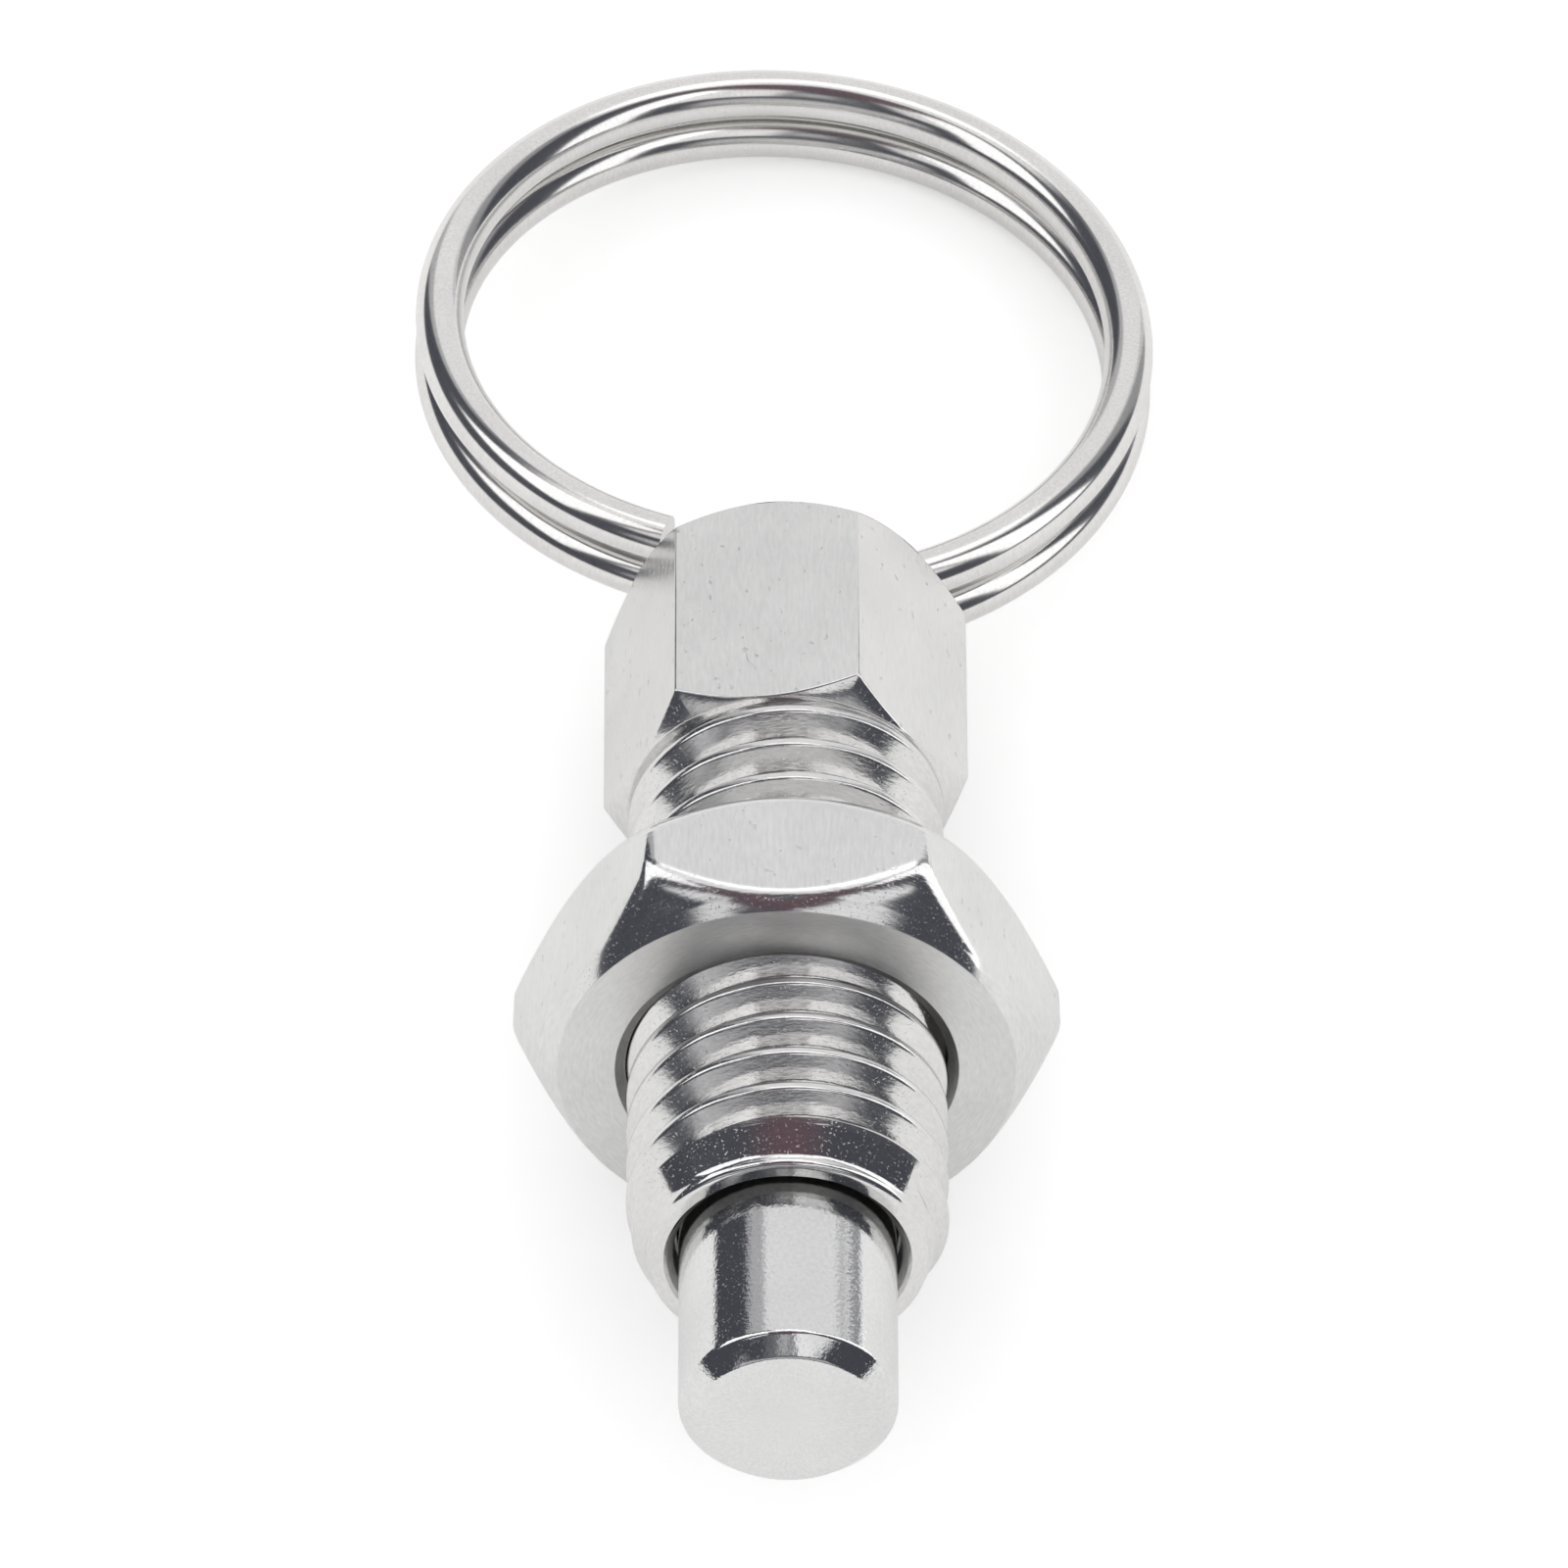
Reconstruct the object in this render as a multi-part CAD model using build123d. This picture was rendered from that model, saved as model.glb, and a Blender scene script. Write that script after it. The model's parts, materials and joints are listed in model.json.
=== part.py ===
from build123d import *
from math import atan2, cos, degrees, radians, sin, tan
import os

# Spring lock pin (indexing plunger): a threaded sleeve with a hexagonal collar, a sprung pin
# inside it, a split ring through the pin's stem to pull it back, and a thin lock nut.
# Millimetres. Every piece is turned along its own +Z, tip of the pin upwards, with z = 0 at
# the front face of the lock nut. The last section lays the assembly down as it rests on a
# table: the tip towards -Y, tipped up on the nut's edge, the collar and the ring.

# Driving dimensions: thread and sleeve
THREAD_D = 11.86  # crest diameter of the M12 x 1.75 thread, modelled as a plain cylinder
NOSE_Z = 9.5
NOSE_FLAT_D = 9.9  # outside diameter of the flat annulus at the nose
NOSE_SLOPE = 30.0  # nose chamfer, degrees from the axis
COLLAR_AF = 12.0
COLLAR_FRONT_Z = -13.55
COLLAR_LENGTH = 10.35
COLLAR_FRONT_SLOPE = 38.0  # degrees from the plane of the face
COLLAR_REAR_INSET = 0.05  # rear chamfer on the middle of a flat, 45 degrees
COLLAR_TURN = 6.6  # turn of the hexagon about the axis, against the nut's
BORE_PLAY = 0.08  # on the diameter, between the pin and the sleeve
MOUTH_D = 9.1  # bore mouth, 45 degree countersink
CHAMBER_FLOOR_Z = -17.5

# Driving dimensions: plunger pin
PIN_D = 8.0
PIN_TIP_Z = 17.3
PIN_CHAMFER = 0.7
SHOULDER_Z = -4.0
SHOULDER_CHAMFER = 0.3
STEM_D = 5.0
STEM_PLAY = 0.12
STEM_PAST_HOLE = 2.4
STEM_CHAMFER = 0.4
RING_HOLE_D = 2.5

# Driving dimensions: spring
SPRING_WIRE_D = 0.9
SPRING_OD = 7.4
SPRING_COILS = 4.5
SPRING_GAP = 0.03  # left open at each end, so that the faces do not touch
SPRING_WIRE_SIDES = 6  # the wires are swept as polygons, which keeps their faces plain

# Driving dimensions: pull ring
RING_WIRE_D = 1.86
RING_WIRE_SIDES = 12
RING_MEAN_R = 13.35
RING_PITCH = 2.14  # from one turn to the next
RING_END_ANGLE = 20.0  # from the stem to each cut end
RING_SEAT_GAP = 0.03  # between the wire and the collar's rear face
RING_ROLL = -2.0  # turn of the pin and its ring about the axis

# Driving dimensions: lock nut
NUT_AF = 17.8
NUT_THICKNESS = 5.9
NUT_CORNER_R = 0.7
NUT_FACE_INSET = 0.27  # from the flats in to the raised round face at the front
NUT_FACE_STEP = 0.4
NUT_REAR_INSET = 0.45  # from the flats in to the rear face
NUT_CHAMFER_SLOPE = 45.0
NUT_MOUTH_D = 12.75
NUT_MOUTH_SLOPE = 30.0  # countersink, degrees from the plane of the face
NUT_PLAY = 0.1  # on the diameter, over the thread

TABLE_GAP = 0.01  # the ring is let down to this height above the table
DROOP_LIMIT = 20.0  # the ring's droop is looked for up to here, either way
DROOP_STEP = 0.001
CUT_PAST = 1.0  # how far the bores' tools reach past a face

# Worked out from the above
HALF_FLAT = radians(30)  # of a hexagon, from the middle of a flat to its corner
THREAD_R = THREAD_D / 2
NOSE_FLAT_R = NOSE_FLAT_D / 2
NOSE_CHAMFER_LENGTH = (THREAD_R - NOSE_FLAT_R) / tan(radians(NOSE_SLOPE))
COLLAR_REAR_Z = COLLAR_FRONT_Z - COLLAR_LENGTH
COLLAR_CORNER_R = COLLAR_AF / 2 / cos(HALF_FLAT)
COLLAR_REAR_FACE_R = COLLAR_AF / 2 - COLLAR_REAR_INSET
BORE_R = (PIN_D + BORE_PLAY) / 2
STEM_BORE_R = (STEM_D + STEM_PLAY) / 2
RING_HOLE_Z = COLLAR_REAR_Z - RING_SEAT_GAP - RING_WIRE_D / 2
STEM_END_Z = RING_HOLE_Z - STEM_PAST_HOLE
SPRING_R = (SPRING_OD - SPRING_WIRE_D) / 2
NUT_CORNER_MAX_R = NUT_AF / 2 / cos(HALF_FLAT)
NUT_FACE_R = NUT_AF / 2 - NUT_FACE_INSET
NUT_REAR_FACE_R = NUT_AF / 2 - NUT_REAR_INSET


def turned(profile):
    """A solid of revolution about Z from (radius, z) points."""
    outline = Polyline(*[(radius, 0, z) for radius, z in profile], close=True)
    return revolve(make_face(outline), Axis.Z)


def make_sleeve():
    """Threaded sleeve in one piece with its hexagonal collar, bored for pin and spring."""
    mouth_depth = MOUTH_D / 2 - BORE_R
    shank = turned([
        (0, COLLAR_FRONT_Z - COLLAR_LENGTH / 2),
        (THREAD_R, COLLAR_FRONT_Z - COLLAR_LENGTH / 2),
        (THREAD_R, NOSE_Z - NOSE_CHAMFER_LENGTH),
        (NOSE_FLAT_R, NOSE_Z),
        (0, NOSE_Z),
    ])
    hexagon = RegularPolygon(COLLAR_AF / 2, 6, major_radius=False, rotation=COLLAR_TURN)
    collar = Pos(0, 0, COLLAR_REAR_Z) * extrude(hexagon, COLLAR_LENGTH)
    # The corners are turned off at both ends: a flat cone in front, 45 degrees behind.
    front_drop = (COLLAR_CORNER_R - THREAD_R) * tan(radians(COLLAR_FRONT_SLOPE))
    rear_rise = COLLAR_CORNER_R - COLLAR_REAR_FACE_R
    collar &= turned([
        (0, COLLAR_REAR_Z),
        (COLLAR_REAR_FACE_R, COLLAR_REAR_Z),
        (COLLAR_CORNER_R, COLLAR_REAR_Z + rear_rise),
        (COLLAR_CORNER_R, COLLAR_FRONT_Z - front_drop),
        (THREAD_R, COLLAR_FRONT_Z),
        (0, COLLAR_FRONT_Z),
    ])
    bore = turned([
        (0, COLLAR_REAR_Z - CUT_PAST),
        (STEM_BORE_R, COLLAR_REAR_Z - CUT_PAST),
        (STEM_BORE_R, CHAMBER_FLOOR_Z),
        (BORE_R, CHAMBER_FLOOR_Z),
        (BORE_R, NOSE_Z - mouth_depth),
        (MOUTH_D / 2, NOSE_Z),
        (MOUTH_D / 2, NOSE_Z + CUT_PAST),
        (0, NOSE_Z + CUT_PAST),
    ])
    return shank + collar - bore


def make_pin():
    """Plunger pin: locking nose, shoulder for the spring, stem with the ring's cross hole."""
    pin_r = PIN_D / 2
    stem_r = STEM_D / 2
    body = turned([
        (0, STEM_END_Z),
        (stem_r - STEM_CHAMFER, STEM_END_Z),
        (stem_r, STEM_END_Z + STEM_CHAMFER),
        (stem_r, SHOULDER_Z),
        (pin_r - SHOULDER_CHAMFER, SHOULDER_Z),
        (pin_r, SHOULDER_Z + SHOULDER_CHAMFER),
        (pin_r, PIN_TIP_Z - PIN_CHAMFER),
        (pin_r - PIN_CHAMFER, PIN_TIP_Z),
        (0, PIN_TIP_Z),
    ])
    cross_hole = Pos(0, 0, RING_HOLE_Z) * Rot(0, 90, 0) * Cylinder(RING_HOLE_D / 2, STEM_D * 2)
    return body - cross_hole


def make_spring():
    """Compression spring between the pin's shoulder and the floor of the chamber."""
    low = CHAMBER_FLOOR_Z + SPRING_WIRE_D / 2 + SPRING_GAP
    high = SHOULDER_Z - SPRING_WIRE_D / 2 - SPRING_GAP
    path = Helix((high - low) / SPRING_COILS, high - low, SPRING_R)
    section = Plane(path @ 0, z_dir=path % 0) * RegularPolygon(SPRING_WIRE_D / 2, SPRING_WIRE_SIDES)
    return Pos(0, 0, low) * sweep(section, path, is_frenet=True)


def make_ring():
    """Two turn split ring. X is the hole's axis, +Y away from the pin, +Z the ring's axis."""
    sweep_angle = 720 - 2 * RING_END_ANGLE
    rise = RING_PITCH * sweep_angle / 360
    path = Helix(RING_PITCH, rise, RING_MEAN_R)
    section = Plane(path @ 0, z_dir=path % 0) * RegularPolygon(RING_WIRE_D / 2, RING_WIRE_SIDES)
    coil = sweep(section, path, is_frenet=True)
    return Pos(0, RING_MEAN_R, -rise / 2) * Rot(0, 0, RING_END_ANGLE - 90) * coil


def make_nut():
    """Thin hexagonal lock nut, chamfered on both sides, with a raised round front face."""
    slope = tan(radians(NUT_CHAMFER_SLOPE))
    front_drop = (NUT_CORNER_MAX_R - NUT_FACE_R) * slope
    rear_rise = (NUT_CORNER_MAX_R - NUT_REAR_FACE_R) * slope
    bore_r = (THREAD_D + NUT_PLAY) / 2
    mouth_depth = (NUT_MOUTH_D / 2 - bore_r) * tan(radians(NUT_MOUTH_SLOPE))
    hexagon = RegularPolygon(NUT_AF / 2, 6, major_radius=False)
    blank = Pos(0, 0, -NUT_THICKNESS) * extrude(hexagon, NUT_THICKNESS)
    blank = fillet(blank.edges().filter_by(Axis.Z), NUT_CORNER_R)
    blank &= turned([
        (0, -NUT_THICKNESS),
        (NUT_REAR_FACE_R, -NUT_THICKNESS),
        (NUT_CORNER_MAX_R, rear_rise - NUT_THICKNESS),
        (NUT_CORNER_MAX_R, -NUT_FACE_STEP - front_drop),
        (NUT_FACE_R, -NUT_FACE_STEP),
        (NUT_FACE_R, 0),
        (0, 0),
    ])
    bore = turned([
        (0, -NUT_THICKNESS - CUT_PAST),
        (NUT_MOUTH_D / 2, -NUT_THICKNESS - CUT_PAST),
        (NUT_MOUTH_D / 2, -NUT_THICKNESS),
        (bore_r, mouth_depth - NUT_THICKNESS),
        (bore_r, -mouth_depth),
        (NUT_MOUTH_D / 2, 0),
        (NUT_MOUTH_D / 2, CUT_PAST),
        (0, CUT_PAST),
    ])
    return blank - bore


# Lying down: the nut's lower flat ends in its rear chamfer and the collar's lowest corner in
# its own, and the straight line between these two points is the table.
nut_foot_r = NUT_AF / 2
nut_foot_z = NUT_REAR_INSET * tan(radians(NUT_CHAMFER_SLOPE)) - NUT_THICKNESS
collar_foot_r = COLLAR_CORNER_R * cos(HALF_FLAT - radians(COLLAR_TURN))
collar_foot_z = COLLAR_REAR_Z + COLLAR_CORNER_R - COLLAR_REAR_FACE_R
axis_tilt = atan2(nut_foot_r - collar_foot_r, nut_foot_z - collar_foot_z)
axis_height = nut_foot_r * cos(axis_tilt) - nut_foot_z * sin(axis_tilt)


def ring_lowest(droop):
    """Height of the ring's underside over the table when its far side droops off the axis."""
    tilt = axis_tilt + radians(droop)
    heights = []
    for step in range(int(RING_END_ANGLE), int(720 - RING_END_ANGLE)):
        turn = radians(step)
        side = -RING_MEAN_R * sin(turn)
        out = RING_MEAN_R * (1 - cos(turn))
        up = RING_PITCH * (1 - step / 360)
        level = up * cos(tilt) - out * sin(tilt)
        heights.append(level + side * sin(radians(RING_ROLL)))
    hole_height = axis_height + RING_HOLE_Z * sin(axis_tilt)
    return hole_height + min(heights) - RING_WIRE_D / 2 - TABLE_GAP


droop_low = -DROOP_LIMIT
droop_high = DROOP_LIMIT
while droop_high - droop_low > DROOP_STEP:
    droop_middle = (droop_low + droop_high) / 2
    if ring_lowest(droop_middle) > 0:
        droop_low = droop_middle
    else:
        droop_high = droop_middle
ring_droop = droop_low

lying = Pos(0, 0, axis_height) * Rot(90 - degrees(axis_tilt), 0, 0)
on_pin = lying * Rot(0, 0, RING_ROLL)
in_hole = on_pin * Pos(0, 0, RING_HOLE_Z) * Rot(-90 - ring_droop, 0, 0)

pieces = {
    "sleeve": lying * make_sleeve(),
    "plunger_pin": on_pin * make_pin(),
    "spring": on_pin * make_spring(),
    "pull_ring": in_hole * make_ring(),
    "lock_nut": lying * make_nut(),
}

# The origin goes under the middle of the whole part, on the table.
extent = Compound(list(pieces.values())).bounding_box()
to_middle = Pos(-extent.center().X, -extent.center().Y, 0)
os.makedirs("parts", exist_ok=True)
for name, piece in pieces.items():
    export_step(to_middle * piece, f"parts/{name}.step")
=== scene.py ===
import bmesh
import bpy
import json
from math import cos, degrees, pi, radians, sin, tan
from mathutils import Matrix, Vector


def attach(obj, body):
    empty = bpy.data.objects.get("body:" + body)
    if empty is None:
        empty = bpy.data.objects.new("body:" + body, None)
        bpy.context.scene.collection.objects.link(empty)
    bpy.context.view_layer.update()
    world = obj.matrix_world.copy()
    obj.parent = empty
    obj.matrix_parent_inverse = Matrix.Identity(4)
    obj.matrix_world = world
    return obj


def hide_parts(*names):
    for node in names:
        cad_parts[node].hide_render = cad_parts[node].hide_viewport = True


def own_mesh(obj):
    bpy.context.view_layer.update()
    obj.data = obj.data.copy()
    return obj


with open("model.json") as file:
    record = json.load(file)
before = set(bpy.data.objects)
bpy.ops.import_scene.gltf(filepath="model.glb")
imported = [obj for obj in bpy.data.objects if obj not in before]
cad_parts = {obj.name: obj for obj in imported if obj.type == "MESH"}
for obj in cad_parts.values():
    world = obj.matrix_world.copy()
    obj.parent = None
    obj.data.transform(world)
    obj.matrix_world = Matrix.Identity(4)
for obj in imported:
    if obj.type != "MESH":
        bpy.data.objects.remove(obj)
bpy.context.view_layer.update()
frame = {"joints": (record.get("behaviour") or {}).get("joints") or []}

# Sizes are in millimetres along the pin's own axis: z = 0 at the lock nut's front face, +z to the
# pin's tip, x to the right and y up seen from behind the tip. They repeat the model's sizes.
MM = 0.001
SEGMENTS = 192

THREAD_R = 5.93
THREAD_PITCH = 1.75
THREAD_CREST_Z = 2.75  # of a crest, straight above the axis
THREAD_CREST_FLAT = 0.07  # half of it; the crest and the root are rounded off
THREAD_CREST_R = 0.17
THREAD_ROOT_R = 0.25
THREAD_FADE_FROM = -0.4  # from the collar's front: between these two its depth grows from nothing
THREAD_FADE_TO = 0.5
THREAD_END_FROM = 3.2  # in pitches from the crest: between these two it is lost again at the nose
THREAD_END_TO = 3.45
ROD_PAST_COLLAR = 2.5  # the threaded rod is made too long and then cut to the sleeve's outline
ROD_PAST_NOSE = 3
NOSE_Z = 9.5
NOSE_FLAT_R = 4.95
NOSE_SLOPE = 30.0
NOSE_LAND_R = 5.19  # of a narrow land round the nose's front, and how far its edges are rounded
NOSE_LAND_REAR_BLEND = 0.13
NOSE_LAND_FRONT_BLEND = 0.28
NOSE_REACH = 1.0  # how far the nose's outline reaches out past the thread
COLLAR_AF = 12.0
COLLAR_FRONT_Z = -13.55
COLLAR_REAR_Z = -23.9
COLLAR_FRONT_SLOPE = 38.0
COLLAR_REAR_INSET = 0.05
COLLAR_TURN = 6.6
COLLAR_CORNER_R = 0.12
COLLAR_BEVEL = 0.07
COLLAR_FRONT_REACH = 3  # how far the outlines of its cones reach out past thread and flats
COLLAR_REAR_REACH = 2
BORE_R = 4.04
MOUTH_R = 4.55
MOUTH_BORE_R = 4.19  # of a short wider bore behind it, the dark gap round the pin
MOUTH_BORE_DEPTH = 1.3
CHAMBER_FLOOR_Z = -17.5
STEM_BORE_R = 2.56

PIN_R = 4.0
PIN_TIP_Z = 17.3
PIN_CHAMFER = 0.7
SHOULDER_Z = -4.0
STEM_R = 2.5
STEM_END_Z = -27.26
STEM_CHAMFER = 0.4
RING_HOLE_R = 1.25
RING_HOLE_Z = -24.86
CROSS_HOLE_REACH = 4  # from the axis, either way; it ends outside the stem

SPRING_WIRE_R = 0.45
SPRING_MEAN_R = 3.25
SPRING_COILS = 4.5
SPRING_GAP = 0.03  # left open at each end

RING_WIRE_R = 0.93
RING_MEAN_R = 13.35
RING_PITCH = 2.14
RING_END_ANGLE = 20.0
RING_ROLL = -2.0
RING_DROOP = 0.013

NUT_AF = 17.8
NUT_THICKNESS = 5.9
NUT_CORNER_R = 0.7
NUT_REAR_INSET = 0.45
NUT_BORE_R = 5.98
NUT_MOUTH_R = 6.375
NUT_MOUTH_SLOPE = 30.0
FACE_EDGE_R = 8.5  # of the flat front face; its edge slopes out to the flats
FACE_SIDE = 0.8  # how much per millimetre
FACE_EDGE_BLEND = 0.42  # how far the edge to a flat is rounded, and how much more towards a corner
FACE_CORNER_BLEND = 0.3
REAR_ROW = 0.06  # height of the nut's rows of faces, and how many there are behind and in front
REAR_ROWS = 36
FRONT_ROW = 0.04
FRONT_ROWS = 60
FRONT_ROWS_Z = -2.4

CUT_PAST = 1  # how far a cutting shape reaches past the face that it cuts
FLOOR_REACH = 2000
FLOOR_SEEN_GLOW = 0.30  # the floor's own light where the camera looks at it
FLOOR_MIRRORED_GLOW = 0.10  # and where the metal does

spin = next(joint for joint in frame["joints"] if joint["name"] == "pin_spin")
tip_way = Vector(spin["axis"]).normalized()
right_way = Vector((1, 0, 0))
up_way = tip_way.cross(right_way)
axis_turn = Matrix((right_way, up_way, tip_way)).transposed().to_4x4()
axis_frame = Matrix.Translation(spin["pos_m"]) @ axis_turn


# Meshes
def mesh_object(name, points, faces):
    mesh = bpy.data.meshes.new(name)
    mesh.from_pydata([[c * MM for c in point] for point in points], [], faces)
    obj = bpy.data.objects.new(name, mesh)
    bpy.context.scene.collection.objects.link(obj)
    return obj


def rounded(profile, reach, steps=4):
    """The same outline with its corners rounded off from a reach before them to one after; a
    point's third number is its own reach."""
    points = [profile[0]]
    for before, corner, after in zip(profile, profile[1:], profile[2:]):
        here = Vector(corner[:2])
        back = Vector(before[:2]) - here
        on = Vector(after[:2]) - here
        length = corner[2] if len(corner) == 3 else min(reach, back.length * 0.4, on.length * 0.4)
        start = here + back.normalized() * length
        end = here + on.normalized() * length
        for step in range(steps + 1):
            part = step / steps
            point = start * (1 - part) ** 2 + here * 2 * part * (1 - part) + end * part ** 2
            points.append(tuple(point))
    points.append(profile[-1])
    return points


def lathe(name, profile, segments=SEGMENTS):
    """A closed solid of revolution from (radius, z) points that start and end on the axis."""
    points = [(0, 0, profile[0][1])]
    rings = []
    for radius, z in profile[1:-1]:
        rings.append(len(points))
        for step in range(segments):
            turn = 2 * pi * step / segments
            points.append((radius * cos(turn), radius * sin(turn), z))
    points.append((0, 0, profile[-1][1]))
    faces = []
    for step in range(segments):
        after = (step + 1) % segments
        faces.append((0, rings[0] + after, rings[0] + step))
        faces.append((len(points) - 1, rings[-1] + step, rings[-1] + after))
        for low, high in zip(rings, rings[1:]):
            faces.append((low + step, low + after, high + after, high + step))
    return mesh_object(name, points, faces)


def prism(name, across_flats, turn, low, high, corner_r, corner_steps=6):
    """A hexagonal prism with rounded edges; turn 0 puts a flat at the top."""
    outline = []
    centre_r = (across_flats / 2 - corner_r) / cos(radians(30))
    for corner in range(6):
        middle = radians(60 * corner + turn)
        for step in range(corner_steps + 1):
            way = middle + radians(60) * (step / corner_steps - 0.5)
            outline.append((
                centre_r * cos(middle) + corner_r * cos(way),
                centre_r * sin(middle) + corner_r * sin(way),
            ))
    count = len(outline)
    points = [(x, y, z) for z in (low, high) for x, y in outline]
    faces = [tuple(reversed(range(count))), tuple(range(count, 2 * count))]
    for step in range(count):
        after = (step + 1) % count
        faces.append((step, after, count + after, count + step))
    return mesh_object(name, points, faces)


def loft(name, heights, radius_at, columns=360):
    """A closed solid round the axis, whose radius depends on the angle and the height."""
    points = [(0, 0, heights[0])]
    for z in heights:
        for column in range(columns):
            way = 2 * pi * column / columns
            radius = radius_at(way, z)
            points.append((radius * cos(way), radius * sin(way), z))
    points.append((0, 0, heights[-1]))
    top = len(points) - 1
    faces = []
    for column in range(columns):
        here = 1 + column
        after = 1 + (column + 1) % columns
        last = (len(heights) - 1) * columns
        faces.append((0, after, here))
        faces.append((top, last + here, last + after))
        for row in range(len(heights) - 1):
            low = row * columns
            faces.append((low + here, low + after, low + columns + after, low + columns + here))
    return mesh_object(name, points, faces)


def hexagon_r(way, across_flats, corner_r):
    """Radius of a hexagon with a flat at the top and rounded corners."""
    half = across_flats / 2
    centre_r = (half - corner_r) / cos(radians(30))
    off_flat = abs(way % radians(60) - radians(30))
    if tan(off_flat) < centre_r * sin(radians(30)) / half:
        return half / cos(off_flat)
    off_corner = radians(30) - off_flat
    return centre_r * cos(off_corner) + (corner_r ** 2 - (centre_r * sin(off_corner)) ** 2) ** 0.5


def blended(one, other, width):
    """The smaller of two, with the edge where they meet rounded off over a width."""
    near = max(width - abs(one - other), 0) / width
    return min(one, other) - near ** 2 * width / 4


def combine(obj, other, operation):
    """Boolean of two solids; the other one is used up."""
    modifier = obj.modifiers.new("combine", "BOOLEAN")
    modifier.operation = operation
    modifier.object = other
    modifier.solver = "EXACT"
    depsgraph = bpy.context.evaluated_depsgraph_get()
    mesh = bpy.data.meshes.new_from_object(obj.evaluated_get(depsgraph))
    obj.modifiers.clear()
    obj.data = mesh
    bpy.data.objects.remove(other)


def bevel(obj, width, segments=2, angle=30.0):
    """Breaks the sharp edges, as a real edge is, so that they catch the light."""
    modifier = obj.modifiers.new("bevel", "BEVEL")
    modifier.width = width * MM
    modifier.segments = segments
    modifier.use_clamp_overlap = False
    modifier.limit_method = "ANGLE"
    modifier.angle_limit = radians(angle)
    depsgraph = bpy.context.evaluated_depsgraph_get()
    mesh = bpy.data.meshes.new_from_object(obj.evaluated_get(depsgraph))
    obj.modifiers.clear()
    obj.data = mesh


def thread_profile(steps=4):
    """(depth, z) over one pitch of a 60 degree thread, from one root to the next."""
    half = THREAD_PITCH / 2
    height = half / tan(radians(30))
    depth = height - THREAD_ROOT_R - THREAD_CREST_R - THREAD_CREST_FLAT / tan(radians(30))
    points = []
    for step in range(steps + 1):
        turn = radians(60 * step / steps)
        points.append((depth - THREAD_ROOT_R * (1 - cos(turn)), THREAD_ROOT_R * sin(turn) - half))
    for step in range(steps, -1, -1):
        turn = radians(60 * step / steps)
        drop = THREAD_CREST_R * (1 - cos(turn))
        points.append((drop, -THREAD_CREST_FLAT - THREAD_CREST_R * sin(turn)))
    return points + [(drop, -z) for drop, z in reversed(points[1:])]


def threaded_rod(name, low, high, fade_from, fade_to, end_from, end_to, columns=180):
    """A rod with a right-hand thread. Its depth grows from nothing between two heights, and is
    lost again between two heights of the groove's bottom."""
    section = thread_profile()
    rows = len(section)
    turns = int((high - low) / THREAD_PITCH)
    first = round((low - THREAD_CREST_Z) / THREAD_PITCH)
    points = []
    for turn in range(turns + 1):
        for drop, z_off in section:
            for column in range(columns):
                part = column / columns
                way = 2 * pi * part + pi / 2
                crest_z = THREAD_CREST_Z + THREAD_PITCH * (first + turn + part)
                bottom_z = crest_z + (THREAD_PITCH if z_off > 0 else -THREAD_PITCH) / 2
                z = crest_z + z_off
                grown = min(1, max(0, (z - fade_from) / (fade_to - fade_from)))
                grown *= grown * (3 - 2 * grown)
                left = min(1, max(0, (end_to - bottom_z) / (end_to - end_from)))
                radius = THREAD_R - drop * grown * left
                points.append((radius * cos(way), radius * sin(way), z))
    last = (turns + 1) * rows - rows  # the top rows only close the seam
    faces = []

    def vertex(row, column):
        return (row + rows) * columns if column == columns else row * columns + column

    for row in range(last - 1):
        for column in range(columns):
            faces.append((
                vertex(row, column),
                vertex(row, column + 1),
                vertex(row + 1, column + 1),
                vertex(row + 1, column),
            ))
    ends = []
    for row in (0, last - 1):
        loop = [vertex(row, column) for column in range(columns)]
        loop += [vertex(row + up, 0) for up in range(rows, 0, -1)]
        centre = len(points)
        points.append((0, 0, points[vertex(row, columns // 2)][2]))
        for here, after in zip(loop, loop[1:] + loop[:1]):
            ends.append((centre, here, after) if row else (centre, after, here))
    return mesh_object(name, points, faces + ends)


def coil(name, mean_r, pitch, sweep, middle, wire_r, steps, sides):
    """A round wire in a helix round the axis. Sweep is its whole angle, in degrees; its middle is
    at height 0 and at the angle middle."""
    slope = pitch / (2 * pi)
    points = []
    for step in range(steps + 1):
        turn = radians(sweep) * (step / steps - 0.5)
        way = turn + radians(middle)
        out = Vector((cos(way), sin(way), 0))
        along = Vector((-sin(way) * mean_r, cos(way) * mean_r, slope)).normalized()
        side = along.cross(out)
        centre = out * mean_r + Vector((0, 0, slope * turn))
        for corner in range(sides):
            around = 2 * pi * corner / sides
            points.append(tuple(centre + (out * cos(around) + side * sin(around)) * wire_r))
    last = steps * sides
    faces = [tuple(reversed(range(sides))), tuple(range(last, last + sides))]
    for step in range(steps):
        here = step * sides
        for corner in range(sides):
            after = (corner + 1) % sides
            faces.append((here + corner, here + after, here + sides + after, here + sides + corner))
    return mesh_object(name, points, faces)


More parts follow.
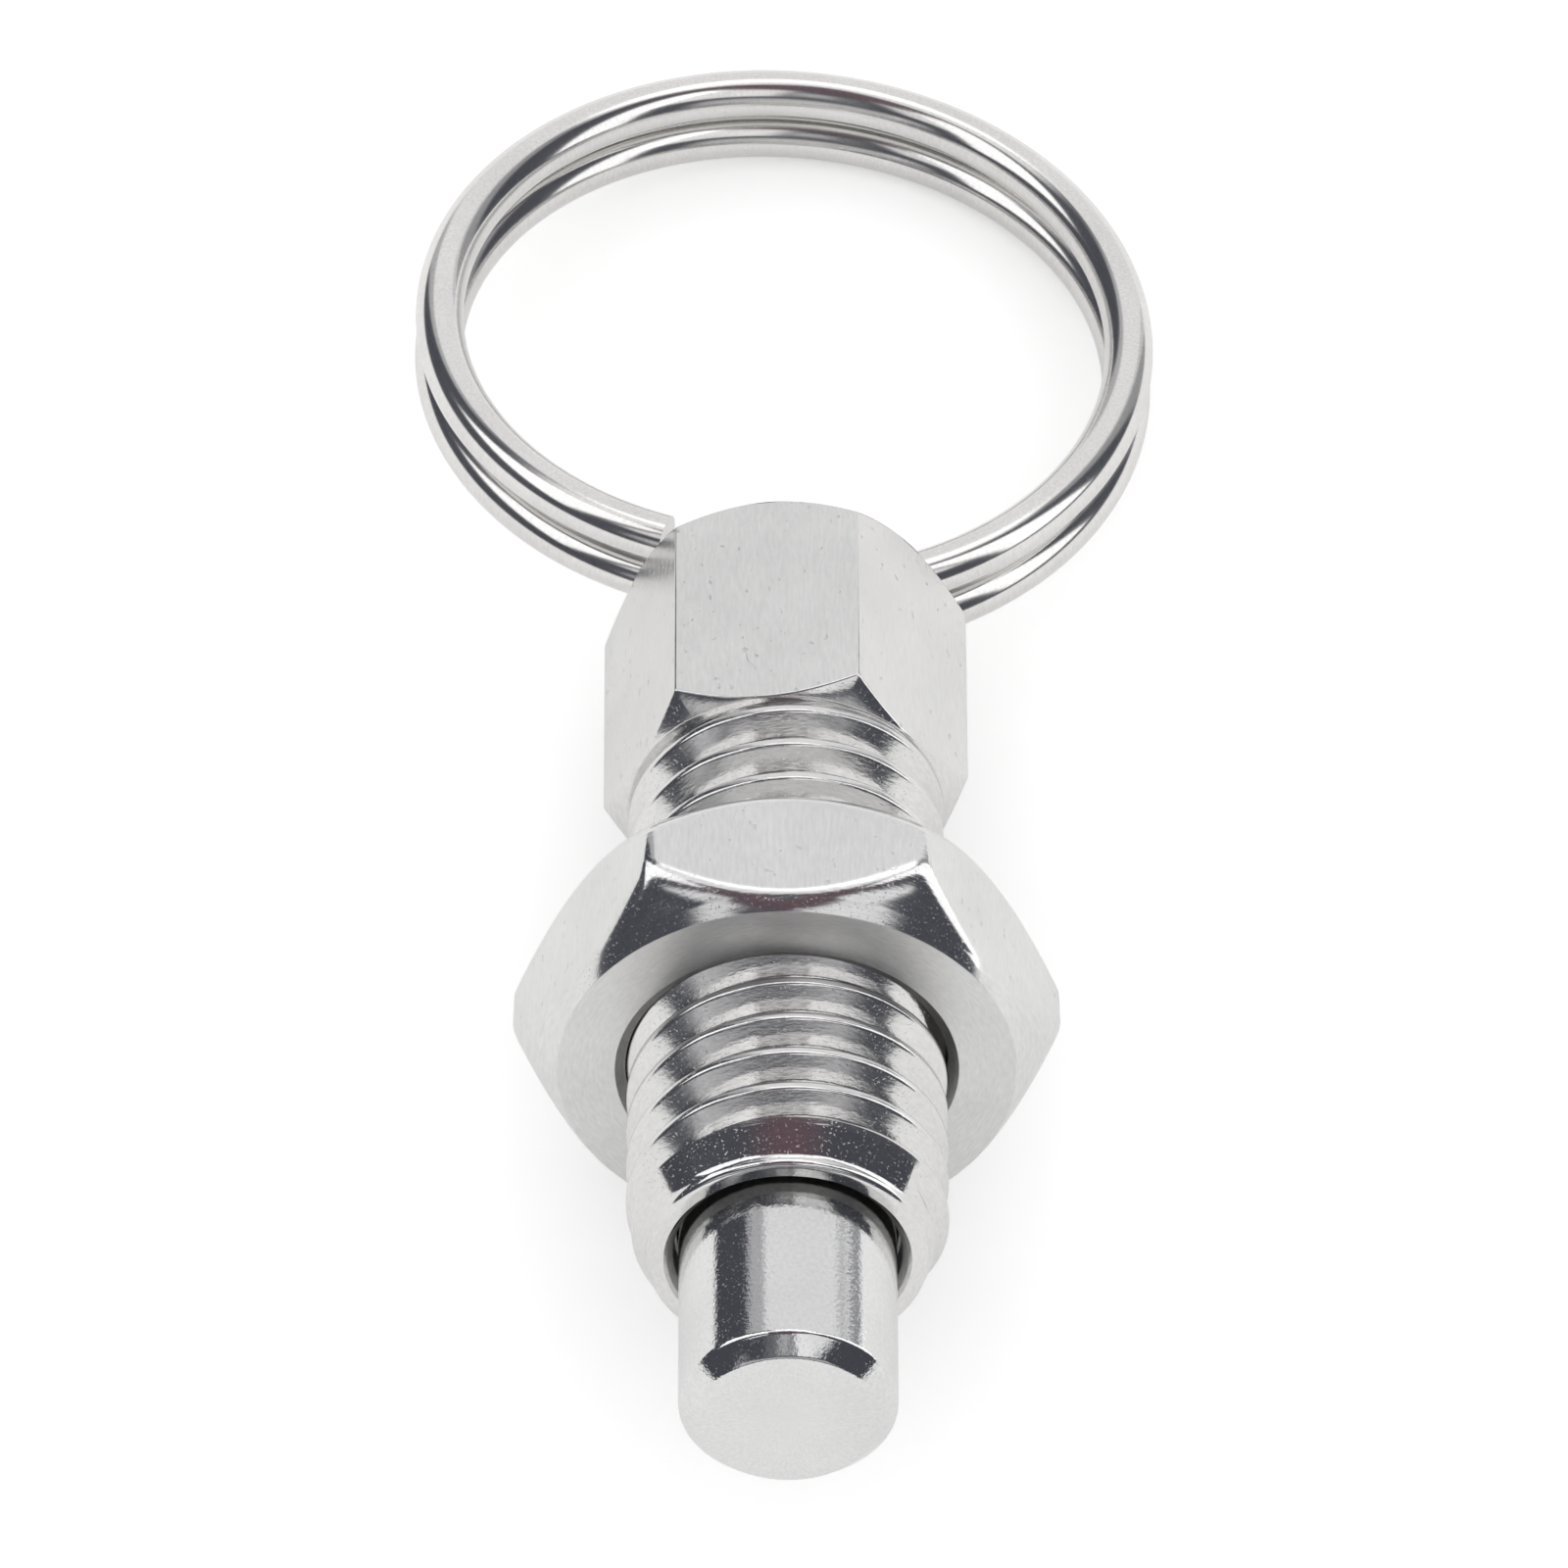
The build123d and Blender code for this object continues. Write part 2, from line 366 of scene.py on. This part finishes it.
def finish_piece(obj, node, body, material, place=axis_frame, sharp=28.0):
    """Closes a piece: outward normals, shading, material, place, and the body it rides on."""
    bm = bmesh.new()
    bm.from_mesh(obj.data)
    bmesh.ops.remove_doubles(bm, verts=bm.verts, dist=1e-7)
    bmesh.ops.recalc_face_normals(bm, faces=bm.faces)
    for face in bm.faces:
        face.smooth = True
    for edge in bm.edges:
        edge.smooth = len(edge.link_faces) == 2 and edge.calc_face_angle(0) < radians(sharp)
    bm.to_mesh(obj.data)
    bm.free()
    obj.data.transform(place)
    obj.data.materials.clear()
    obj.data.materials.append(material)
    even = obj.modifiers.new("even shading", "WEIGHTED_NORMAL")
    even.keep_sharp = True
    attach(obj, body)
    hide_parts(node)


# Materials
class Graph:
    """Short calls that add and join the nodes of one node tree."""

    def __init__(self, tree):
        self.nodes = tree.nodes
        self.links = tree.links

    def add(self, kind, *values, output=0, **settings):
        """A new node's output; a value is a number or another output, and None skips a socket."""
        node = self.nodes.new(kind)
        for setting, value in settings.items():
            setattr(node, setting, value)
        for socket, value in zip(node.inputs, values):
            if isinstance(value, bpy.types.NodeSocket):
                self.links.new(value, socket)
            elif value is not None:
                socket.default_value = value
        return node.outputs[output]

    def math(self, operation, *values):
        return self.add("ShaderNodeMath", *values, operation=operation)

    def split(self, vector):
        node = self.nodes.new("ShaderNodeSeparateXYZ")
        self.links.new(vector, node.inputs[0])
        return node.outputs

    def total(self, values):
        result = values[0]
        for value in values[1:]:
            result = self.math("ADD", result, value)
        return result

    def spread(self, value, low, high, start, end):
        """Maps the range low to high onto start to end, and no further."""
        return self.add("ShaderNodeMapRange", value, low, high, start, end)

    def noise(self, place, scale, detail):
        """Noise whose cells are 1 / scale metres long in each of the three directions."""
        stretched = self.add("ShaderNodeVectorMath", place, scale, operation="MULTIPLY")
        return self.add("ShaderNodeTexNoise", stretched, None, 1.0, detail)


NO_FRONT = (1000.0, 1.0, 1.0)  # a height ahead of every piece, so nothing changes
EDGE_FADE = 0.04  # over which the bore's rough finish and its painted shade give way to the next
# painted shade: how much darker the colour is made inside a bore
BORE_PAINTED_SHADE = -0.45
DRILLED_ROUGHNESS = 0.35


def steel(name, colour, roughness, lines, nicks=0.0, flats=None, front=NO_FRONT, bore=None):
    """Procedural steel with fine lines turned round the axis: lines gives their height, how many
    there are to a millimetre, their number round the axis, and the pitch of the helix they follow.
    Nicks gives the depth of tiny ones among the lines. Flats, given as their across-flats size and
    turn, are satin, with a grain along the axis and small dents. Front gives a height from which
    roughness and lines change by two factors. Bore gives a radius and the height of its rear end;
    in it the steel is rough, as left by the drill, and its colour is darkened as painted shade.
    Sizes are in millimetres, the height of the lines and the depth of the nicks in micrometres."""
    material = bpy.data.materials.new(name)
    material.use_nodes = True
    shader = material.node_tree.nodes["Principled BSDF"]
    graph = Graph(material.node_tree)
    inverse = axis_frame.inverted()
    point = graph.add("ShaderNodeTexCoord", output="Object")
    place = graph.add("ShaderNodeMapping", point, inverse.translation, inverse.to_euler())
    x, y, z = graph.split(place)

    flat = 0.0
    if flats:
        across, turn = flats
        reach = 0.0
        for side in range(3):
            way = radians(60 * side + 90 + turn)
            facing = (cos(way), sin(way), 0)
            on_side = graph.add(
                "ShaderNodeVectorMath", place, facing, operation="DOT_PRODUCT", output=1
            )
            reach = graph.math("MAXIMUM", reach, graph.math("ABSOLUTE", on_side))
        flat = graph.spread(reach, (across / 2 - 0.05) * MM, (across / 2 - 0.01) * MM, 0, 1)
    curved = graph.math("SUBTRACT", 1.0, flat)
    line_height, line_count, line_turns, helix = lines
    front_z, front_roughness, front_lines = front
    ahead = graph.spread(z, (front_z - 0.02) * MM, (front_z + 0.02) * MM, 0, 1)

    round_axis = graph.math("ARCTAN2", x, y)
    square = graph.math("ADD", graph.math("MULTIPLY", x, x), graph.math("MULTIPLY", y, y))
    radius = graph.math("SQRT", square)
    along = graph.math("ADD", z, graph.math("MULTIPLY", round_axis, helix * MM / (2 * pi)))
    polar = graph.add("ShaderNodeCombineXYZ", radius, round_axis, along)
    turned = graph.noise(polar, (line_count / MM, line_turns, line_count / MM), 3.0)
    grain = graph.noise(place, (8000, 8000, 1600), 4.0)
    patches = graph.noise(place, (260, 260, 260), 3.0)
    pitted = graph.spread(graph.noise(place, (3000, 3000, 2000), 2.0), 0.67, 0.72, 0, 1)
    pits = graph.math("MULTIPLY", flat, pitted)
    nicked = graph.spread(graph.noise(place, (10000, 10000, 10000), 2.0), 0.64, 0.74, 0, 1)
    # inside a bore the steel is rough as drilled, and its colour is darkened as painted shade
    bore_finish_and_shade = 0.0
    if bore:
        bore_r, bore_end = bore
        inside = graph.spread(radius, (bore_r - EDGE_FADE) * MM, bore_r * MM, 1, 0)
        ahead_of_end = graph.spread(z, bore_end * MM, (bore_end + EDGE_FADE) * MM, 0, 1)
        bore_finish_and_shade = graph.math("MULTIPLY", inside, ahead_of_end)

    grain_tone = graph.math("MULTIPLY", flat, graph.spread(grain, 0.25, 0.75, -0.06, 0.06))
    line_tone = graph.math("MULTIPLY", curved, graph.spread(turned, 0.25, 0.75, -0.07, 0.07))
    tone = graph.total([
        graph.spread(patches, 0.3, 0.7, 0.96, 1.04),
        graph.math("MULTIPLY", pits, -0.15),
        grain_tone,
        line_tone,
        # painted shade inside the bore
        graph.math("MULTIPLY", bore_finish_and_shade, BORE_PAINTED_SHADE),
    ])
    base = graph.add("ShaderNodeVectorMath", colour, operation="SCALE")
    graph.links.new(tone, base.node.inputs["Scale"])
    curved_roughness = graph.spread(ahead, 0, 1, roughness, roughness * front_roughness)
    all_roughness = graph.total([
        graph.math("MULTIPLY", curved, curved_roughness),
        graph.math("MULTIPLY", flat, graph.spread(grain, 0.25, 0.75, 0.16, 0.24)),
        graph.math("MULTIPLY", bore_finish_and_shade, DRILLED_ROUGHNESS),
    ])
    line_heights = graph.spread(ahead, 0, 1, line_height, line_height * front_lines)
    curved_height = graph.total([
        graph.math("MULTIPLY", turned, line_heights),
        graph.math("MULTIPLY", nicked, -nicks),
    ])
    height = graph.total([
        graph.math("MULTIPLY", curved, curved_height),
        graph.math("MULTIPLY", flat, graph.math("MULTIPLY", grain, 5.0)),
        graph.math("MULTIPLY", pits, -5.0),
    ])
    bump = graph.add("ShaderNodeBump", 1.0, 1e-6)
    graph.links.new(height, bump.node.inputs["Height"])
    shader.inputs["Metallic"].default_value = 1.0
    graph.links.new(base, shader.inputs["Base Color"])
    graph.links.new(all_roughness, shader.inputs["Roughness"])
    graph.links.new(bump, shader.inputs["Normal"])
    return material


sleeve_steel = steel(
    "sleeve steel",
    (0.72, 0.715, 0.705),
    0.14,
    (6.0, 9.0, 16, THREAD_PITCH),
    nicks=3.5,
    flats=(COLLAR_AF, COLLAR_TURN),
    front=(8.0, 0.65, 0.4),
    # the bore is rough as drilled, and darkened with painted shade
    bore=(MOUTH_R - 0.1, COLLAR_REAR_Z + 0.1),
)
nut_steel = steel(
    "nut steel",
    (0.72, 0.718, 0.712),
    0.13,
    (4.0, 9.0, 16, 0.0),
    nicks=3.5,
    flats=(NUT_AF, 0.0),
    front=(-0.02, 2.5, 1.0),
    # the bore is rough as drilled, and darkened with painted shade
    bore=(NUT_MOUTH_R, -NUT_THICKNESS),
)
pin_steel = steel("pin steel", (0.72, 0.72, 0.715), 0.05, (7.0, 6.0, 24, 0.0), nicks=2.0)
ring_steel = steel("ring steel", (0.76, 0.75, 0.735), 0.15, (0.5, 9.0, 24, 0.0))
spring_steel = steel("spring steel", (0.6, 0.6, 0.6), 0.3, (1.0, 9.0, 24, 0.0))

# Sleeve
nose_chamfer = (THREAD_R - NOSE_FLAT_R) / tan(radians(NOSE_SLOPE))
land_length = (NOSE_LAND_R - NOSE_FLAT_R) / tan(radians(NOSE_SLOPE))
sleeve = threaded_rod(
    "threaded_sleeve",
    COLLAR_FRONT_Z - ROD_PAST_COLLAR,
    NOSE_Z + ROD_PAST_NOSE,
    fade_from=COLLAR_FRONT_Z + THREAD_FADE_FROM,
    fade_to=COLLAR_FRONT_Z + THREAD_FADE_TO,
    end_from=THREAD_CREST_Z + THREAD_END_FROM * THREAD_PITCH,
    end_to=THREAD_CREST_Z + THREAD_END_TO * THREAD_PITCH,
)
combine(sleeve, lathe("nose", rounded([
    (0, COLLAR_FRONT_Z - CUT_PAST),
    (THREAD_R + NOSE_REACH, COLLAR_FRONT_Z - CUT_PAST),
    (THREAD_R + NOSE_REACH, NOSE_Z - nose_chamfer - NOSE_REACH / tan(radians(NOSE_SLOPE))),
    (NOSE_LAND_R, NOSE_Z - land_length, NOSE_LAND_REAR_BLEND),
    (NOSE_LAND_R, NOSE_Z, NOSE_LAND_FRONT_BLEND),
    (0, NOSE_Z),
], 0.1, 6)), "INTERSECT")
collar = prism(
    "collar",
    COLLAR_AF,
    COLLAR_TURN,
    COLLAR_REAR_Z - CUT_PAST,
    COLLAR_FRONT_Z + CUT_PAST,
    COLLAR_CORNER_R,
    corner_steps=3,
)
front_drop = COLLAR_FRONT_REACH * tan(radians(COLLAR_FRONT_SLOPE))
rear_rise = COLLAR_REAR_INSET + COLLAR_REAR_REACH
combine(collar, lathe("collar cones", [
    (0, COLLAR_REAR_Z),
    (COLLAR_AF / 2 - COLLAR_REAR_INSET, COLLAR_REAR_Z),
    (COLLAR_AF / 2 + COLLAR_REAR_REACH, COLLAR_REAR_Z + rear_rise),
    (THREAD_R + COLLAR_FRONT_REACH, COLLAR_FRONT_Z - front_drop),
    (THREAD_R, COLLAR_FRONT_Z),
    (0, COLLAR_FRONT_Z),
]), "INTERSECT")
bevel(collar, COLLAR_BEVEL)
combine(sleeve, collar, "UNION")
combine(sleeve, lathe("sleeve bore", rounded([
    (0, COLLAR_REAR_Z - CUT_PAST),
    (STEM_BORE_R, COLLAR_REAR_Z - CUT_PAST),
    (STEM_BORE_R, CHAMBER_FLOOR_Z),
    (BORE_R, CHAMBER_FLOOR_Z),
    (BORE_R, NOSE_Z - MOUTH_BORE_DEPTH),
    (MOUTH_BORE_R, NOSE_Z - MOUTH_BORE_DEPTH),
    (MOUTH_BORE_R, NOSE_Z - MOUTH_R + MOUTH_BORE_R),
    (MOUTH_R, NOSE_Z),
    (MOUTH_R + CUT_PAST, NOSE_Z + CUT_PAST),
    (0, NOSE_Z + CUT_PAST),
], 0.05)), "DIFFERENCE")
finish_piece(sleeve, "sleeve", "sleeve", sleeve_steel)


# Lock nut
def nut_r(way, z):
    hexagon = hexagon_r(way, NUT_AF, NUT_CORNER_R)
    chamfer_z = (FACE_EDGE_R - NUT_AF / 2) / FACE_SIDE
    front = FACE_EDGE_R - FACE_SIDE * z if z > chamfer_z else NUT_AF / 2 + chamfer_z - z
    rear = NUT_AF / 2 - NUT_REAR_INSET + NUT_THICKNESS + z
    blend = FACE_EDGE_BLEND + FACE_CORNER_BLEND * (hexagon - NUT_AF / 2)
    return blended(hexagon, min(front, rear), blend)


rear_rows = [-NUT_THICKNESS + REAR_ROW * row for row in range(REAR_ROWS)]
front_rows = [FRONT_ROWS_Z + FRONT_ROW * row for row in range(FRONT_ROWS)]
nut = loft("hexagon_nut", rear_rows + front_rows + [-0.01, 0], nut_r)
mouth_depth = (NUT_MOUTH_R - NUT_BORE_R) * tan(radians(NUT_MOUTH_SLOPE))
combine(nut, lathe("nut bore", [
    (0, -NUT_THICKNESS - CUT_PAST),
    (NUT_MOUTH_R, -NUT_THICKNESS - CUT_PAST),
    (NUT_MOUTH_R, -NUT_THICKNESS),
    (NUT_BORE_R, mouth_depth - NUT_THICKNESS),
    (NUT_BORE_R, -mouth_depth),
    (NUT_MOUTH_R, 0),
    (NUT_MOUTH_R, CUT_PAST),
    (0, CUT_PAST),
]), "DIFFERENCE")
finish_piece(nut, "lock_nut", "nut", nut_steel)

# Plunger pin
pin = lathe("pin", rounded([
    (0, STEM_END_Z),
    (STEM_R - STEM_CHAMFER, STEM_END_Z),
    (STEM_R, STEM_END_Z + STEM_CHAMFER),
    (STEM_R, SHOULDER_Z),
    (PIN_R, SHOULDER_Z),
    (PIN_R, PIN_TIP_Z - PIN_CHAMFER),
    (PIN_R - PIN_CHAMFER, PIN_TIP_Z),
    (0, PIN_TIP_Z),
], 0.13, 5))
cross_hole = lathe("cross hole", [
    (0, -CROSS_HOLE_REACH),
    (RING_HOLE_R, -CROSS_HOLE_REACH),
    (RING_HOLE_R, CROSS_HOLE_REACH),
    (0, CROSS_HOLE_REACH),
], segments=64)
hole_place = Matrix.Translation((0, 0, RING_HOLE_Z * MM))
cross_hole.data.transform(hole_place @ Matrix.Rotation(pi / 2, 4, "Y"))
combine(pin, cross_hole, "DIFFERENCE")
rolled_frame = axis_frame @ Matrix.Rotation(radians(RING_ROLL), 4, "Z")
finish_piece(pin, "plunger_pin", "pin", pin_steel, place=rolled_frame)

# Spring: hidden in the sleeve, it shortens as the pin is pulled
spring_low = CHAMBER_FLOOR_Z + SPRING_GAP
spring_high = SHOULDER_Z - SPRING_GAP
spring = coil(
    "coil_spring",
    SPRING_MEAN_R,
    (spring_high - spring_low - 2 * SPRING_WIRE_R) / SPRING_COILS,
    360 * SPRING_COILS,
    90.0,
    SPRING_WIRE_R,
    steps=270,
    sides=16,
)
spring_frame = axis_frame @ Matrix.Translation((0, 0, (spring_low + spring_high) / 2 * MM))
finish_piece(spring, "spring", "spring", spring_steel, place=spring_frame)
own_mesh(spring)

# Pull ring: two turns of round wire, placed by the ring's own axis
ring = coil(
    "split_ring",
    RING_MEAN_R,
    RING_PITCH,
    720 - 2 * RING_END_ANGLE,
    -90.0,
    RING_WIRE_R,
    steps=560,
    sides=40,
)
ring_frame = (
    rolled_frame
    @ hole_place
    @ Matrix.Rotation(radians(-90 - RING_DROOP), 4, "X")
    @ Matrix.Translation((0, RING_MEAN_R * MM, 0))
)
finish_piece(ring, "pull_ring", "ring", ring_steel, place=ring_frame)

# Floor: white, with the object's shadow; a little of its light is its own where the camera or the
# metal looks at it, so that it shows as white as the photograph's ground
floor_material = bpy.data.materials.new("floor")
floor_material.use_nodes = True
floor_shader = floor_material.node_tree.nodes["Principled BSDF"]
floor_shader.inputs["Base Color"].default_value = (0.9, 0.9, 0.9, 1)
floor_shader.inputs["Roughness"].default_value = 0.9
floor_shader.inputs["Specular IOR Level"].default_value = 0.0
floor_shader.inputs["Emission Color"].default_value = (1, 1, 1, 1)
floor_graph = Graph(floor_material.node_tree)
floor_ray = floor_graph.nodes.new("ShaderNodeLightPath")
own_light = floor_graph.total([
    floor_graph.math("MULTIPLY", floor_ray.outputs["Is Camera Ray"], FLOOR_SEEN_GLOW),
    floor_graph.math("MULTIPLY", floor_ray.outputs["Is Glossy Ray"], FLOOR_MIRRORED_GLOW),
])
floor_graph.links.new(own_light, floor_shader.inputs["Emission Strength"])
floor_sides = [(-1, -1), (1, -1), (1, 1), (-1, 1)]
floor_corners = [(x * FLOOR_REACH, y * FLOOR_REACH, 0) for x, y in floor_sides]
floor = mesh_object("floor", floor_corners, [(0, 1, 2, 3)])
floor.data.materials.append(floor_material)

# Light: an even white room lights the floor and shows behind the object. What the metal mirrors is
# a dark studio with a backdrop, a low wall at the right, windows and a pale front.
world = bpy.data.worlds.new("room")
bpy.context.scene.world = world
world.use_nodes = True
graph = Graph(world.node_tree)
to_right, to_back, to_top = graph.split(graph.add("ShaderNodeTexCoord", output="Generated"))
elevation = graph.math("MULTIPLY", graph.math("ARCSINE", to_top), degrees(1))
azimuth = graph.math("MULTIPLY", graph.math("ARCTAN2", to_right, to_back), degrees(1))
to_left = graph.math("MULTIPLY", to_right, -1)
to_front = graph.math("MULTIPLY", to_back, -1)
from_front = graph.math("MULTIPLY", graph.math("ARCTAN2", to_left, to_front), degrees(1))


def ramp(value, start, end):
    """0 before start, 1 after end, smooth between them; start may be the larger one."""
    low, high = sorted((start, end))
    to_min, to_max = (0, 1) if start < end else (1, 0)
    return graph.add(
        "ShaderNodeMapRange", value, low, high, to_min, to_max, interpolation_type="SMOOTHSTEP"
    )


def panel(angle, left, right, low, high, level, soft=3, fade=3):
    """Light of one panel: between two angles round the room and two heights, in degrees."""
    strength = level
    for start, end in ((left - soft, left + soft), (right + soft, right - soft)):
        strength = graph.math("MULTIPLY", strength, ramp(angle, start, end))
    for start, end in ((low - fade, low + fade), (high + fade, high - fade)):
        strength = graph.math("MULTIPLY", strength, ramp(elevation, start, end))
    return strength


def glow(colour, level):
    return graph.add("ShaderNodeBackground", (*colour, 1), level)


panels = graph.total([
    panel(azimuth, -22, 46, -20, 68, 0.82, soft=2, fade=8),  # backdrop
    panel(azimuth, -34, -22, -20, 44, 0.42, soft=2, fade=6),  # its shaded left edge
    panel(azimuth, 40, 42, -20, 58, -0.45, soft=0.8, fade=4),  # two dark slits in it
    panel(azimuth, 44.5, 46, -20, 58, -0.60, soft=0.8, fade=4),
    panel(azimuth, 46, 62, -20, 50, 0.28, soft=3, fade=4),  # low wall at the right
    panel(azimuth, -60, 60, 54, 81, 0.9, soft=8, fade=4),  # the backdrop's bright top
    panel(from_front, -32, 36, 8, 27, 0.46, soft=6, fade=6),  # pale front, low down
    panel(from_front, 32, 46, 16, 30, 0.35, soft=3, fade=4),  # pale spot, front left
    panel(from_front, -26, 26, 34, 62, 0.10, soft=6, fade=6),  # behind the camera
    panel(from_front, -3, 12, 44, 60, 0.30, soft=3, fade=4),
    panel(from_front, -60, -9, 38, 68, 0.85, soft=4, fade=4),  # window, front right
    panel(from_front, 40, 60, 46, 66, 0.80, soft=4, fade=4),  # smaller window, front left
])
studio = glow((0.073, 0.076, 0.092), 1.0)
studio = graph.add("ShaderNodeAddShader", studio, glow((1, 0.995, 0.99), panels))
overhead = panel(from_front, -120, 120, 70, 110, 1.0, soft=20, fade=15)
studio = graph.add("ShaderNodeAddShader", studio, glow((0.073, 0.02, 0.02), overhead))
even = glow((1, 1, 1), 1.0)
mirrored = graph.add("ShaderNodeLightPath", output="Is Glossy Ray")
room = graph.add("ShaderNodeMixShader", mirrored, even, studio)
graph.links.new(room, graph.nodes["World Output"].inputs["Surface"])


def softbox(name, place, towards, wide, tall, level):
    """A lamp that only the metal mirrors, facing a point; sizes in mm."""
    data = bpy.data.lights.new(name, "AREA")
    data.shape = "RECTANGLE"
    data.size = wide * MM
    data.size_y = tall * MM
    data.energy = level * pi * data.size * data.size_y
    lamp = bpy.data.objects.new(name, data)
    bpy.context.scene.collection.objects.link(lamp)
    lamp.location = Vector(place) * MM
    lamp.rotation_euler = (Vector(place) - Vector(towards)).to_track_quat("Z", "Y").to_euler()
    lamp.visible_camera = False
    lamp.visible_diffuse = False


softbox("softbox_left", (-100, 17, 178), (0, 17, 178), 88, 246, 1.3)
softbox("softbox_right", (60, 0, 101), (0, 0, 101), 34, 178, 1.3)

# Camera: the photograph's, from the axis as it lies in the 1600 x 1600 frame
FRAME_PIXELS = 1600
CAMERA_PIXELS_PER_MM = 27.57
CAMERA_DISTANCE = 564.8
AXIS_ANGLE = 45.82  # between the line of sight and the pin's axis
AXIS_LEAN = 0.244  # of the axis in the picture, off the vertical
AXIS_PIXEL = (802.95, 1080.73)  # where the point of the axis at AXIS_PIXEL_Z shows
AXIS_PIXEL_Z = -0.585
SENSOR = 36.0
angle = radians(AXIS_ANGLE)
lean = radians(AXIS_LEAN)
# Columns are the axis frame's x, y and z as the camera sees them: right, up and towards it.
seen_right = Vector((cos(lean), sin(lean), 0))
seen_up = Vector((-sin(lean) * cos(angle), cos(lean) * cos(angle), sin(angle)))
seen_tip = Vector((sin(lean) * sin(angle), -cos(lean) * sin(angle), cos(angle)))
seen = Matrix((seen_right, seen_up, seen_tip)).transposed()
half_frame = FRAME_PIXELS / 2
seen_point = Vector((
    (AXIS_PIXEL[0] - half_frame) / CAMERA_PIXELS_PER_MM,
    -(AXIS_PIXEL[1] - half_frame) / CAMERA_PIXELS_PER_MM,
    -CAMERA_DISTANCE,
))
seen_origin = (seen_point - seen @ Vector((0, 0, AXIS_PIXEL_Z))) * MM
camera_data = bpy.data.cameras.new("camera")
camera_data.sensor_width = SENSOR
camera_data.lens = CAMERA_PIXELS_PER_MM * CAMERA_DISTANCE / FRAME_PIXELS * SENSOR
camera_data.clip_start = 0.01
camera = bpy.data.objects.new("camera", camera_data)
bpy.context.scene.collection.objects.link(camera)
camera.matrix_world = axis_frame @ (Matrix.Translation(seen_origin) @ seen.to_4x4()).inverted()
bpy.context.scene.camera = camera
bpy.context.scene.view_settings.view_transform = "Standard"
